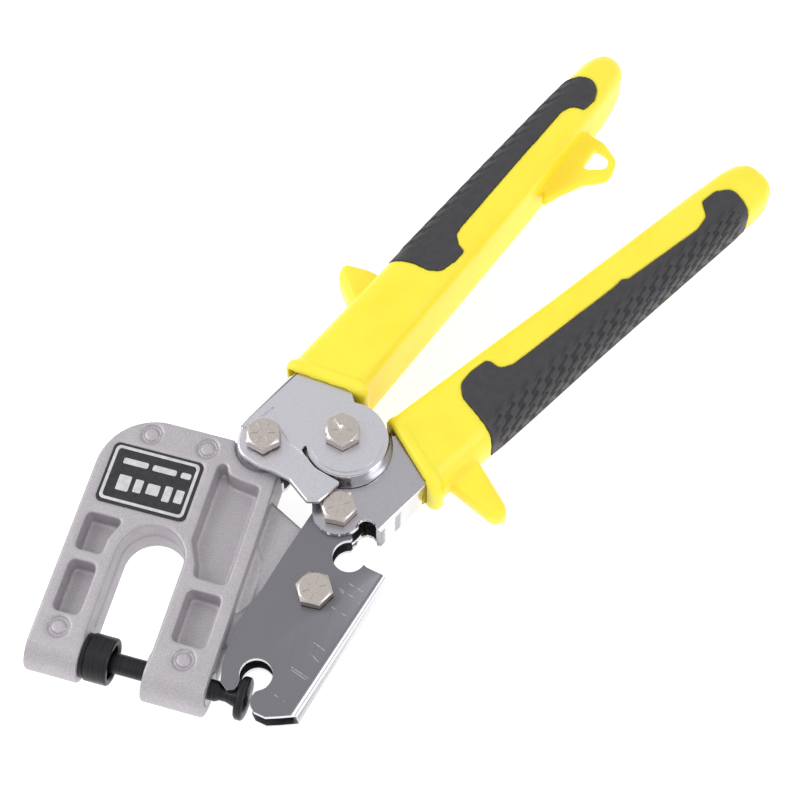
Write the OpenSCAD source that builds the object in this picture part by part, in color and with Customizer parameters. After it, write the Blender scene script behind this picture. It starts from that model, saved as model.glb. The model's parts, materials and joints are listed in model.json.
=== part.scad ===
// Two-handed punch crimper for metal studs, lying flat with its handles closed.
// Plan positions are measured from the lever pivot: +X along the punch, +Y towards the grips.
// Heights are measured from the middle plane of the tool.

/* [Head frame] */
// Thickness of the cast head frame
frame_t = 16; // [14:0.5:18]
// Left edge of the frame
frame_left = -76.2; // [-82:0.1:-74]
// Right edge of the frame
frame_right = -21.2; // [-23:0.1:-20.5]
// Top edge of the frame
frame_top = 39.9; // [38:0.1:42]
// Radius of the large outer corner
corner_r = 18; // [12:0.5:20]
// Left side of the throat slot
slot_left = -60; // [-62:0.1:-58]
// Right side of the throat slot
slot_right = -40.2; // [-42:0.1:-38]
// Depth of each lightening pocket
pocket_depth = 6.5; // [4:0.25:7]
// Thickness of the lug that carries the lever pivot
lug_t = 6; // [5:0.25:6.4]

/* [Punch and die] */
// Height of the punch axis in plan
punch_y = -35.4; // [-36:0.1:-34.5]
// Diameter of the punch
punch_d = 6.2; // [5:0.1:6.4]
// Diameter of the disc at the end of the punch
disc_d = 13; // [12:0.5:14]
// Outer diameter of the die cup
cup_d = 14.4; // [13:0.1:15.5]
// Length of the die cup
cup_len = 7.6; // [6:0.1:9]
// Bore of the die cup
cup_bore = 10.4; // [9:0.1:11]

/* [Sheet metal] */
// Thickness of the pressed steel sheet
sheet = 1.8; // [1.5:0.1:1.8]
// Half width between the lever's plates
lever_in = 3.3; // [3.3:0.05:3.4]
// Half width between the lower handle's plates
lower_in = 5.3; // [5.3:0.05:5.4]
// Half width between the upper handle's plates
upper_in = 11.4; // [11.4:0.05:11.6]
// Gap left between faces that slide past each other
face_gap = 0.2; // [0.1:0.05:0.3]

/* [Fasteners] */
// Width across the flats of the hexagon heads
hex_af = 10; // [9:0.5:10]
// Height of a bolt head
head_h = 4; // [3.5:0.1:4]
// Height of a lock nut
nut_h = 6; // [5:0.5:6]
// Diameter of the bolt shanks
shank_d = 6; // [5.5:0.1:6]
// Radial clearance of the pivots
pivot_fit = 0.05; // [0.02:0.01:0.1]
// Radial clearance round the link bolt in the lever
link_play = 0.6; // [0.5:0.05:0.8]

/* [Grips] */
// Half thickness of the upper grip
upper_half = 14.6; // [14.4:0.1:15.4]
// Half thickness of the lower grip
lower_half = 10; // [9.6:0.1:11]
// Edge radius of the grips
grip_r = 6; // [4:0.5:7]
// Thickness of the soft pads
pad_t = 2.4; // [2:0.1:3]

/* [Hidden] */
$fn = 48;

// Pivots: a joins frame and upper handle, b both handles, c lower handle and lever, d lever and frame
pivot_a = [-28.24, 40.66];
pivot_b = [-5.43, 48.08];
pivot_c = [-0.49, 26.6];
pivot_d = [0, 0];
// Directions of the grips and of the lower handle's pressed channel, clockwise from +Y
upper_turn = 23.5;
lower_turn = 33;
frame_half = frame_t / 2;
lug_half = lug_t / 2;
seat_half = frame_half - 2;
lever_out = lever_in + sheet;
lower_out = lower_in + sheet;
upper_out = upper_in + sheet;
disc_rise = 0.4;
boss_centre = [-3.9, 47.2];
boss_r = 12.4;
hole_r = shank_d / 2 + pivot_fit;
bolt_tail = 1.5;
slot_r = (slot_right - slot_left) / 2;
slot_x = (slot_right + slot_left) / 2;
slot_top = 6.2;
end_y = punch_y - 0.6;
eps = 0.01;
// The rest plane is under the lowest nut, and the outline's centre is the origin
base_z = upper_out + disc_rise + face_gap + nut_h + bolt_tail;
plan_centre = [13.4, 83.4];

module place() translate([-plan_centre[0], -plan_centre[1], base_z]) children();
module at(p, z = 0) translate([p[0], p[1], z]) children();
// A slab of a plan outline between two heights
module slab(z0, z1) translate([0, 0, z0]) linear_extrude(z1 - z0) children();
// The same slab on the front and on the back
module both(z0, z1) { slab(z0, z1) children(); slab(-z1, -z0) children(); }
module disc_at(p, r) at(p) circle(r);
module drill(p, r) at(p, -40) cylinder(h = 80, r = r);
module rounded(size, r) hull()
    for (x = [r, size[0] - r], y = [r, size[1] - r]) translate([x, y]) circle(r, $fn = 24);

// ---- Head frame ----
module frame_outline() difference() {
    union() {
        disc_at([frame_left + corner_r, frame_top - corner_r], corner_r);
        translate([frame_left, end_y]) square([frame_right - frame_left, frame_top - corner_r - end_y]);
        translate([frame_left + corner_r, 0]) square([pivot_a[0] - frame_left - corner_r, frame_top]);
        translate([pivot_a[0] - 1, 0]) square([frame_right - pivot_a[0] + 1, 35]);
    }
    disc_at([slot_x, slot_top - slot_r], slot_r);
    translate([slot_left, end_y - 1]) square([2 * slot_r, slot_top - slot_r - end_y + 1]);
}
module upper_left_pocket()
    polygon([[-73, 5.6], [-61.6, 5.6], [-61.8, 4], [-64.2, -1.4], [-64.3, -6.8], [-73, -6.8]]);
module long_pocket() difference() {
    polygon([[-40, 5], [-40, 31.5], [-25.2, 31.5], [-25.2, -6.3], [-35.6, -6.3], [-36.4, -2.4], [-38, 1.8]]);
    disc_at(pivot_a, 13.3);
}
module pockets() {
    upper_left_pocket();
    translate([-72.7, -26.8]) rounded([8.5, 16.8], 1.2);
    translate([-35.9, -26.7]) rounded([10.7, 16.9], 1.2);
    long_pocket();
}
module arm_end(x0, x1) translate([x0, end_y, 0]) rotate([0, 90, 0]) cylinder(h = x1 - x0, r = frame_half);
module pivot_lug_outline() {
    disc_at(pivot_d, 8.5);
    polygon([[-22, 25.5], [-9.5, 19], [4, 7.5], [-4.5, -7.5], [-22, -24]]);
}
module head_frame() color("darkgray") difference() {
    union() {
        difference() {
            union() {
                slab(-frame_half, frame_half) frame_outline();
                arm_end(frame_left, slot_left);
                arm_end(slot_right, frame_right);
            }
            // Round seats that let the upper handle's ears sink in
            both(seat_half, frame_half + 1) disc_at(pivot_a, 9.1);
            both(frame_half - pocket_depth, frame_half + 1) pockets();
            slab(frame_half - 0.6, frame_half + 1) translate([-72.5, 9.6]) rounded([28.8, 20.2], 2);
        }
        slab(-seat_half, seat_half) disc_at(pivot_a, 6.2);
        slab(-lug_half, lug_half) pivot_lug_outline();
    }
    drill(pivot_a, 4.4);
    drill(pivot_d, 5);
    // Bore for the punch sleeve in the right arm, and socket for the die's stem in the left arm
    translate([slot_right - 1, punch_y, 0]) rotate([0, 90, 0]) cylinder(h = 21, r = 5);
    translate([slot_left - 8, punch_y, 0]) rotate([0, 90, 0]) cylinder(h = 8 + eps, r = 4);
}
module label_plate() color("dimgray")
    slab(frame_half - 0.6, frame_half + 0.1) translate([-72.5, 9.6]) rounded([28.8, 20.2], 2);

// ---- Punch and die ----
module along_punch(x) translate([x, punch_y, 0]) rotate([0, 90, 0]) children();
module die_ring() color("black") along_punch(slot_left) difference() {
    cylinder(h = 1.2, d = cup_d - 0.8);
    translate([0, 0, -1]) cylinder(h = 4, r = 4);
}
module die_cup() color("black") difference() {
    union() {
        along_punch(slot_left + 1.2) cylinder(h = cup_len, d = cup_d);
        along_punch(slot_left - 8) cylinder(h = 9.3, r = 4);
    }
    along_punch(slot_left + 3.2) cylinder(h = cup_len, d = cup_bore);
}
module punch_sleeve() color("dimgray") along_punch(slot_right) difference() {
    cylinder(h = frame_right - slot_right, r = 5);
    translate([0, 0, -1]) cylinder(h = 30, d = punch_d + 2 * pivot_fit);
}
punch_tip = -52.4;
disc_x = -12.6;
neck_r = 2.4;
module punch() color("black") along_punch(0) rotate_extrude() polygon([
    [0, punch_tip], [punch_d / 2 - 0.8, punch_tip], [punch_d / 2, punch_tip + 0.8],
    [punch_d / 2, disc_x - 6.6], [neck_r, disc_x - 5.2], [neck_r, disc_x - 3.4], [punch_d / 2, disc_x - 1],
    [punch_d / 2, disc_x - 0.3], [disc_d / 2 - 0.6, disc_x], [disc_d / 2, disc_x + 0.6],
    [disc_d / 2, disc_x + 2.4], [3, disc_x + 3.2], [0, disc_x + 3.3]]);

// ---- Lever ----
lever_bottom = [6.2, -37.3];
lever_top = [19.1, 10.4];
module lever_outline() difference() {
    union() {
        polygon([[-8, 25], [-12, 10.5], [-15.3, -3], [-17.6, -10], [-19.3, -16], [-19.7, -21],
            [-19.4, -29], [-18.2, -34], [-15.8, -35.8], [-13.6, -35], [-13, -33.5], [-13, -26],
            [-5, -26], [-5, -32], [-7.6, -34], [-8.3, -36], [-7.8, -38.2], [-6.2, -39.9],
            [-2.6, -40.5], [1, -39.3], lever_bottom, lever_top, [12.5, 11.8], [9, 14],
            [5, 21], [4, 26]]);
        disc_at(pivot_c, 7.5);
    }
    disc_at([-9, -29], 4.9);
    disc_at([6.6, 13.8], 5.1);
    polygon([[6.6, 11.7], [10.6, 11.7], [13, 24], [8, 24], [5.4, 18.7]]);
}
// A wall along one edge of a plan outline
module edge_wall(p, q) {
    run = q - p;
    at(p) rotate(atan2(run[1], run[0])) square([norm(run), sheet]);
}
module lever_channel() color("silver") difference() {
    union() {
        both(lever_in, lever_out) lever_outline();
        slab(-lever_out, lever_out) edge_wall(lever_bottom, lever_top);
    }
    drill(pivot_d, hole_r);
    drill(pivot_c, shank_d / 2 + link_play);
}

// ---- Handles ----
module upper_neck() polygon([[-36, 43], [-19.6, 39.6], [-14, 42], [-4, 44], [6.6, 53.6], [0, 57.6],
    [-5, 59.4], [-7.2, 63], [-7.2, 66], [-26.2, 65.9]]);
// The front ear runs on past its bolt as a strip over the link bolt, split from the boss by a slit
module front_plate() {
    difference() {
        union() {
            disc_at(pivot_a, 8);
            polygon([[-36.1, 42.6], [-28.24, 32.66], [-22.5, 31], [-17, 29.6], [-9.8, 24.2],
                [-6, 25.2], [-1.8, 33], [-4, 42], [-28, 55]]);
        }
        disc_at(boss_centre, boss_r + 1.6);
    }
    disc_at(boss_centre, boss_r);
    upper_neck();
}
module back_plate() {
    disc_at(pivot_a, 8);
    disc_at(boss_centre, boss_r);
    upper_neck();
    polygon([[-22, 38.6], [-16, 38.4], [-11, 38], [-11, 46], [-22, 46]]);
}
module upper_web() rotate(-upper_turn) translate([-50.3, 28.2]) square([sheet, 28]);
// Inside the grip the channel steps down to a narrower tang
tang_step = 2.6;
module tang_outline() rotate(-upper_turn) polygon([[-49.3, 53], [-33.6, 53], [-34.6, 118], [-49.3, 118]]);
module step_outline() rotate(-upper_turn) translate([-50.3, 53]) square([16.7, 3.2]);
module tang_web() rotate(-upper_turn) translate([-49.3, 53]) square([sheet, 65]);
module ear_skirt() difference() {
    disc_at(pivot_a, 8);
    disc_at(pivot_a, 6.4);
    at(pivot_a) rotate(-35) translate([-20, 0]) square([40, 20]);
}
// Drawn wall that closes the gap between the boss and the lower handle
module boss_skirt() intersection() {
    at(boss_centre) rotate_extrude() polygon([[boss_r - sheet, upper_in], [boss_r, upper_in + 1],
        [boss_r + 1.4, lower_out + 0.4], [boss_r - 0.4, lower_out + 0.4]]);
    at(boss_centre, -1) linear_extrude(40) polygon([[0, 0], [-24, -14], [-10, -40], [40, -40], [40, 24]]);
}
module upper_channel() color("silver") difference() {
    union() {
        slab(upper_in, upper_out) front_plate();
        slab(-upper_out, -upper_in) back_plate();
        both(upper_in, upper_out + disc_rise) disc_at(boss_centre, 11.2);
        both(upper_in - tang_step, upper_out - tang_step) tang_outline();
        both(upper_in - tang_step, upper_out) step_outline();
        slab(-upper_out, upper_out) upper_web();
        slab(tang_step - upper_out, upper_out - tang_step) tang_web();
        both(seat_half + 0.3, upper_in + eps) ear_skirt();
        boss_skirt();
        mirror([0, 0, 1]) boss_skirt();
    }
    drill(pivot_a, hole_r);
    drill(pivot_b, hole_r);
}

module lower_plate() difference() {
    union() {
        disc_at(pivot_c, 8);
        disc_at(pivot_b, 11);
        polygon([[-8.3, 25], [7, 25.8], [13.5, 23.5], [21.8, 40.2], [22.6, 42], [11.2, 58.2], [8.8, 54.4],
            [-3, 58.6], [-15.8, 44.2]]);
    }
    disc_at([9.2, 22.9], 3.1);
}
module lower_web() edge_wall([13.5, 23.5], [21.8, 40.2]);
module lower_tang() rotate(-lower_turn) polygon([[-3.7, 45], [-7.6, 92], [-21.6, 92], [-22.4, 50]]);
module lower_tang_web() rotate(-lower_turn) polygon([[-3.7, 45], [-7.6, 92], [-9.6, 92], [-5.7, 45]]);
module lower_channel() color("silver") difference() {
    union() {
        both(lower_in, lower_out) { lower_plate(); lower_tang(); }
        slab(-lower_out, lower_out) { lower_web(); lower_tang_web(); }
    }
    drill(pivot_b, hole_r);
    drill(pivot_c, hole_r);
}

// ---- Grips: across and along are measured in the grip's own directions ----
module ball(x, y, half, r = grip_r) for (s = [-1, 1]) translate([x, y, s * (half - r)]) sphere(r, $fn = 24);
module upper_body(inset = 0) rotate([0, 0, -upper_turn]) hull() {
    ball(-46.9, 60, upper_half - inset, grip_r - inset);
    ball(-36.2, 62, upper_half - inset, grip_r - inset);
    ball(-40.4, 150, upper_half - 1.2 - inset, grip_r - inset);
    ball(-45.6, 192, 12.6 - inset, grip_r - inset);
    ball(-47, 203.4, 11 - inset, grip_r - inset);
    ball(-44.6, 203.8, 11 - inset, grip_r - inset);
}
module lower_body(inset = 0) rotate([0, 0, -lower_turn]) hull() {
    ball(-21.6, 62, lower_half - inset, grip_r - inset);
    ball(-6.4, 57, lower_half - inset, grip_r - inset);
    ball(-19.6, 120, lower_half - inset, grip_r - inset);
    ball(-18.6, 186, 9.6 - inset, grip_r - inset);
    ball(-18.2, 198.6, 9 - inset, grip_r - inset);
    ball(-13.2, 198.8, 9 - inset, grip_r - inset);
}
// Collar ring in front of a grip, between two plan points; end_half is its half height at its ends
collar_r = 2.4;
module collar(p, q, half, end_half) hull()
    for (m = [[0, end_half], [0.2, half], [0.8, half], [1, end_half]], s = [-1, 1])
        at(p + m[0] * (q - p), s * (m[1] - collar_r)) sphere(collar_r, $fn = 16);
// Finger guard tab from a wide root to a narrow tip
module guard(p, q, tip, root_t) hull() {
    at(p) cylinder(h = root_t, r = 3, center = true, $fn = 24);
    at(q) cylinder(h = root_t, r = 3, center = true, $fn = 24);
    at(tip) cylinder(h = 0.7 * root_t, r = 2.6, center = true, $fn = 24);
}
eye_centre = [44.6, 173];
eye_t = 5;
module hang_eye() difference() {
    hull() {
        at(eye_centre) cylinder(h = eye_t, r = 6.6, center = true);
        at([33.6, 160]) cylinder(h = eye_t, r = 2, center = true);
        at([38, 182]) cylinder(h = eye_t, r = 2, center = true);
    }
    at(eye_centre) cylinder(h = 2 * eye_t, r = 3.6, center = true);
}
module upper_pad_region() slab(-20, 20) rotate(-upper_turn) polygon([[-60, 101], [-46.4, 100.9],
    [-38.5, 104], [-35.8, 112.6], [-39.6, 117.6], [-41.2, 124], [-43.5, 178], [-40.6, 183.6],
    [-39.3, 188], [-40.7, 193], [-45, 194.8], [-60, 194.8]]);
module lower_pad_region() slab(-20, 20) rotate(-lower_turn) polygon([[6, 64], [1.5, 70.6], [-2.9, 73],
    [-18, 74.3], [-21.5, 77], [-22.8, 83], [-22, 88.4], [-17.6, 90.2], [-15.9, 96], [-15.8, 136],
    [-14.2, 173], [-16.4, 177.2], [-18.9, 178.6], [-18.2, 185], [-15.4, 189.6], [-12, 190.6], [-6, 188],
    [6, 182]]);
module upper_pad() color("darkslategray") difference() {
    intersection() { upper_body(); upper_pad_region(); }
    upper_body(pad_t);
}
module lower_pad() color("darkslategray") difference() {
    intersection() { lower_body(); lower_pad_region(); }
    lower_body(pad_t);
}
module upper_grip() color("yellow") difference() {
    union() {
        difference() { upper_body(); upper_pad_region(); }
        upper_body(pad_t);
        collar([-26.4, 66.6], [-4.4, 64.6], upper_half + 1.2, upper_half + 0.8);
        guard([-13.2, 96], [-8.6, 105], [-22, 108.4], 16);
        hang_eye();
    }
    slab(-upper_out - face_gap, upper_out + face_gap) rotate(-upper_turn)
        polygon([[-50.5, 40], [-31.2, 40], [-31.2, 57], [-32.4, 58], [-50.5, 58]]);
    slab(tang_step - upper_out - face_gap, upper_out - tang_step + face_gap) rotate(-upper_turn)
        polygon([[-49.5, 50], [-33.4, 50], [-34.4, 118.2], [-49.5, 118.2]]);
}
module lower_grip() color("yellow") difference() {
    union() {
        difference() { lower_body(); lower_pad_region(); }
        lower_body(pad_t);
        collar([7.8, 60], [25.6, 41.4], lower_half + 0.8, 5);
        guard([33.2, 52.6], [30, 47.8], [46, 40.5], 8);
    }
    slab(-lower_out - face_gap, lower_out + face_gap) rotate(-lower_turn)
        polygon([[-2.8, 35], [-7.4, 92.2], [-21.8, 92.2], [-22.8, 35]]);
}

// ---- Fasteners ----
module hex(h) cylinder(h = h, d = hex_af / cos(30), $fn = 6);
// Bolt whose head bears on height z, with its shank reaching the nut behind
module bolt(p, z, turn) color("tan") at(p) {
    translate([0, 0, z]) rotate(turn) intersection() {
        hex(head_h);
        union() {
            cylinder(h = head_h - 0.9, r = hex_af);
            translate([0, 0, head_h - 0.9]) cylinder(h = 0.9, r1 = hex_af / 2 + 1.2, r2 = hex_af / 2 - 0.4);
        }
    }
    translate([0, 0, -z - nut_h - bolt_tail]) cylinder(h = 2 * z + nut_h + bolt_tail + eps, d = shank_d);
}
module nut(p, z, turn) color("tan") at(p, -z - nut_h) difference() {
    union() {
        translate([0, 0, nut_h - 4.6]) rotate(turn) hex(4.6);
        cylinder(h = nut_h - 4.6 + eps, r = 4.3);
    }
    translate([0, 0, -1]) cylinder(h = nut_h + 2, d = shank_d);
}
upper_seat = upper_out + face_gap;
boss_seat = upper_out + disc_rise + face_gap;
lower_seat = lower_out;
lever_seat = lever_out + face_gap;
module bolt_a() bolt(pivot_a, upper_seat, 46);
module bolt_b() bolt(pivot_b, boss_seat, 46);
module bolt_c() bolt(pivot_c, lower_seat, 3);
module bolt_d() bolt(pivot_d, lever_seat, 2);
module nut_a() nut(pivot_a, upper_seat, 5);
module nut_b() nut(pivot_b, boss_seat, 17);
module nut_c() nut(pivot_c, lower_seat, 26);
module nut_d() nut(pivot_d, lever_seat, 11);

// ---- Sleeves and spacers on the bolts ----
module ring(p, z0, z1, r_out, r_in) at(p, z0) difference() {
    cylinder(h = z1 - z0, r = r_out);
    translate([0, 0, -1]) cylinder(h = z1 - z0 + 2, r = r_in);
}
module bush_a() color("gray") ring(pivot_a, -seat_half, seat_half, 4.4, hole_r);
module bush_b() color("gray") ring(pivot_b, face_gap - lower_in, lower_in - face_gap, 5, hole_r);
module bush_c() color("gray") ring(pivot_c, face_gap - lever_in, lever_in - face_gap, 4.5, hole_r);
module bush_d() color("gray") ring(pivot_d, -lug_half - 0.1, lug_half + 0.1, 5, hole_r);
module spacers_a() color("gray") for (s = [0, 1]) mirror([0, 0, s])
    ring(pivot_a, seat_half, upper_in - face_gap, 5.2, hole_r);
module spacers_b() color("gray") for (s = [0, 1]) mirror([0, 0, s])
    ring(pivot_b, lower_out + face_gap, upper_in, 8, hole_r);

place() head_frame();
place() label_plate();
place() die_cup();
place() die_ring();
place() punch_sleeve();
place() punch();
place() lever_channel();
place() upper_channel();
place() lower_channel();
place() upper_grip();
place() upper_pad();
place() lower_grip();
place() lower_pad();
place() bolt_a();
place() bolt_b();
place() bolt_c();
place() bolt_d();
place() nut_a();
place() nut_b();
place() nut_c();
place() nut_d();
place() bush_a();
place() bush_b();
place() bush_c();
place() bush_d();
place() spacers_a();
place() spacers_b();
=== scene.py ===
import json
import math
import bmesh
import bpy
from mathutils import Euler, Matrix, Vector


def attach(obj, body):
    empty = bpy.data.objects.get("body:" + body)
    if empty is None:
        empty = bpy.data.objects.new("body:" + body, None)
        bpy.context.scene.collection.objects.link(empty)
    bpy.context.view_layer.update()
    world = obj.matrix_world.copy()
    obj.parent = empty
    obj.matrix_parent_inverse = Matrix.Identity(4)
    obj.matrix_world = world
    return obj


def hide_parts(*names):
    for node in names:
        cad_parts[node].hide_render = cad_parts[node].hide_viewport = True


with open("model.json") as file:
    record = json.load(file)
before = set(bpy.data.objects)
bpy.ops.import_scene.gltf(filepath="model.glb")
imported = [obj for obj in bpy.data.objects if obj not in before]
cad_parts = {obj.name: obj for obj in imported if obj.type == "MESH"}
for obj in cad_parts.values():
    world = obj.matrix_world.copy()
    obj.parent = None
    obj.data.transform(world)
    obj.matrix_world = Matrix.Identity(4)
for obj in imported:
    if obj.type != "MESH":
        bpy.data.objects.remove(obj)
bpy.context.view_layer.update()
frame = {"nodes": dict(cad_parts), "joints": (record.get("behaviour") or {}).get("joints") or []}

mm = 0.001
full = 2 * math.pi

# Every piece is modelled in millimetres round the lever pivot: x along the punch, y towards the grips,
# z up from the middle plane
leverPivot = Vector([joint for joint in frame["joints"] if joint["name"] == "lever_pivot"][0]["pos_m"])
boltPlaces = {"a": (-28.24, 40.66), "b": (-5.43, 48.08), "c": (-0.49, 26.6), "d": (0, 0)}
punchLine = -35.4  # y of the line that the punch slides along
gripTurns = {"upper": math.radians(-23.5), "lower": math.radians(-33)}


def deselectAll():
    if bpy.context.object and bpy.context.object.mode == "EDIT":
        bpy.ops.object.mode_set(mode="OBJECT")
    bpy.ops.object.select_all(action="DESELECT")


def pick(piece):
    deselectAll()
    piece.select_set(True)
    bpy.context.view_layer.objects.active = piece
    return piece


def edit(piece, mode="VERT"):
    pick(piece)
    bpy.ops.object.mode_set(mode="EDIT")
    bpy.ops.mesh.select_mode(type=mode)
    bpy.ops.mesh.select_all(action="SELECT")


def leaveEdit():
    bpy.ops.object.mode_set(mode="OBJECT")


def choose(piece, kind, test):  # selects the edges or faces that pass the test, in edit mode
    mesh = bmesh.from_edit_mesh(piece.data)
    bpy.ops.mesh.select_all(action="DESELECT")
    for part in (mesh.edges if kind == "EDGE" else mesh.faces):
        if test(part):
            part.select_set(True)
    mesh.select_flush_mode()
    bmesh.update_edit_mesh(piece.data)


def rounded(corners, steps=6):  # corners are (x, y, radius); each becomes an arc
    points = []
    for i, (x, y, radius) in enumerate(corners):
        here = Vector((x, y))
        back = Vector(corners[i - 1][:2]) - here
        ahead = Vector(corners[(i + 1) % len(corners)][:2]) - here
        if radius == 0:
            points.append((x, y))
            continue
        half = back.angle(ahead) / 2
        reach = min(radius / math.tan(half), 0.49 * back.length, 0.49 * ahead.length)
        radius = reach * math.tan(half)
        centre = here + (back.normalized() + ahead.normalized()).normalized() * (radius / math.sin(half))
        start = here + back.normalized() * reach - centre
        end = here + ahead.normalized() * reach - centre
        turn = start.angle_signed(end)
        for step in range(steps + 1):
            spot = centre + start @ Matrix.Rotation(turn * step / steps, 2)
            points.append((spot.x, spot.y))
    return points


def drawChain(name, points):  # a line of edges, drawn by extruding one point from place to place
    deselectAll()
    bpy.ops.mesh.primitive_plane_add(size=mm, location=(0, 0, 0))
    piece = bpy.context.active_object
    piece.name = name
    edit(piece)
    bpy.ops.mesh.merge(type="CENTER")
    bpy.ops.transform.translate(value=Vector(points[0]) * mm)
    for here, there in zip(points, points[1:]):
        step = (Vector(there) - Vector(here)) * mm
        bpy.ops.mesh.extrude_vertices_move(TRANSFORM_OT_translate={"value": step})
    return piece


def drawFace(name, points):
    piece = drawChain(name, list(points) + [points[0]])
    bpy.ops.mesh.select_all(action="SELECT")
    bpy.ops.mesh.remove_doubles(threshold=0.01 * mm)
    bpy.ops.mesh.edge_face_add()
    return piece


def fixNormals(piece):
    edit(piece)
    bpy.ops.mesh.remove_doubles(threshold=0.004 * mm)
    bpy.ops.mesh.normals_make_consistent(inside=False)
    leaveEdit()


def plate(name, points, low, high):  # a flat outline given its thickness
    piece = drawFace(name, [(x, y, low) for x, y in points])
    bpy.ops.mesh.extrude_region_move(TRANSFORM_OT_translate={"value": (0, 0, (high - low) * mm)})
    leaveEdit()
    fixNormals(piece)
    return piece


def lathe(name, profile, axis="Z", angle=full, steps=64):  # profile is (radius, height along the axis)
    side = [(height, radius, 0) if axis == "X" else (radius, 0, height) for radius, height in profile]
    piece = drawChain(name, side)
    bpy.ops.mesh.select_all(action="SELECT")
    axle = (1, 0, 0) if axis == "X" else (0, 0, 1)
    bpy.ops.mesh.spin(steps=steps, angle=angle, center=(0, 0, 0), axis=axle)
    bpy.ops.mesh.select_all(action="SELECT")
    bpy.ops.mesh.remove_doubles(threshold=0.004 * mm)
    if angle < full:
        bpy.ops.mesh.fill_holes(sides=0)
    leaveEdit()
    fixNormals(piece)
    return piece


def bar(name, radius, low, high, place=(0, 0), sides=48):
    deselectAll()
    bpy.ops.mesh.primitive_cylinder_add(vertices=sides, radius=radius * mm, depth=(high - low) * mm,
                                        location=(place[0] * mm, place[1] * mm, (low + high) / 2 * mm))
    piece = bpy.context.active_object
    piece.name = name
    bpy.ops.object.transform_apply()
    return piece


def block(name, low, high):
    deselectAll()
    centre = [(a + b) / 2 * mm for a, b in zip(low, high)]
    bpy.ops.mesh.primitive_cube_add(size=1, location=centre)
    piece = bpy.context.active_object
    piece.name = name
    piece.scale = [(b - a) * mm for a, b in zip(low, high)]
    bpy.ops.object.transform_apply()
    return piece


def move(piece, offset=(0, 0, 0), turn=0.0, axis="Z"):
    pick(piece)
    piece.location = Vector(offset) * mm
    piece.rotation_euler = Euler([turn if axis == letter else 0 for letter in "XYZ"])
    bpy.ops.object.transform_apply()
    return piece


def modify(piece, kind, **values):
    pick(piece)
    modifier = piece.modifiers.new(kind.lower(), kind)
    for key, value in values.items():
        setattr(modifier, key, value)
    bpy.ops.object.modifier_apply(modifier=modifier.name)
    return piece


def combine(piece, others, how="UNION"):
    for other in others:
        modify(piece, "BOOLEAN", operation=how, object=other, solver="EXACT")
        bpy.data.objects.remove(other)
    return piece


def cut(piece, *tools):
    return combine(piece, tools, "DIFFERENCE")


def join(piece, *others):
    return combine(piece, others)


def soften(piece, width, segments=2, angle=32):
    modify(piece, "BEVEL", width=width * mm, segments=segments, limit_method="ANGLE",
           angle_limit=math.radians(angle), use_clamp_overlap=True)
    smoothShade(piece)
    return modify(piece, "WEIGHTED_NORMAL", mode="FACE_AREA", keep_sharp=True)


def smoothShade(piece, angle=38):
    pick(piece)
    bpy.ops.object.shade_smooth_by_angle(angle=math.radians(angle))
    return piece


def merge(piece, *others):  # puts several shapes in one mesh, which recast then melts together
    pick(piece)
    for other in others:
        other.select_set(True)
    bpy.ops.object.join()
    return piece


def recast(piece, voxel, passes, amount=0.5):  # melts a sharp shape into one soft-edged skin
    modify(piece, "REMESH", mode="VOXEL", voxel_size=voxel * mm)
    modify(piece, "SMOOTH", factor=amount, iterations=passes)
    pick(piece)
    bpy.ops.object.shade_smooth()
    return piece


def fromNode(node, name):  # a merged copy of a CAD node, moved to the working place
    piece = frame["nodes"][node].copy()
    piece.data = piece.data.copy()
    piece.parent = None
    piece.name = name
    for key in list(piece.keys()):
        del piece[key]
    bpy.context.scene.collection.objects.link(piece)
    piece.matrix_world = Matrix.Translation(-leverPivot)
    pick(piece)
    bpy.ops.object.transform_apply()
    edit(piece)
    bpy.ops.mesh.remove_doubles(threshold=0.02 * mm)
    bpy.ops.mesh.dissolve_degenerate(threshold=0.02 * mm)
    bpy.ops.mesh.dissolve_limited(angle_limit=math.radians(1))
    leaveEdit()
    return piece


def finish(piece, material, body, slot, *nodes):  # puts a piece in its place on its body
    move(piece, leverPivot / mm)
    piece.data.materials.clear()
    piece.data.materials.append(material)
    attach(piece, body)
    if nodes:
        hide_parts(*nodes)
    return piece


def onLine(point, start, end, slack=0.25):  # whether a point in plan lies on the line from start to end
    run = Vector(end) - Vector(start)
    away = Vector((point.x / mm, point.y / mm)) - Vector(start)
    return abs(run.x * away.y - run.y * away.x) / run.length < slack


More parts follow.
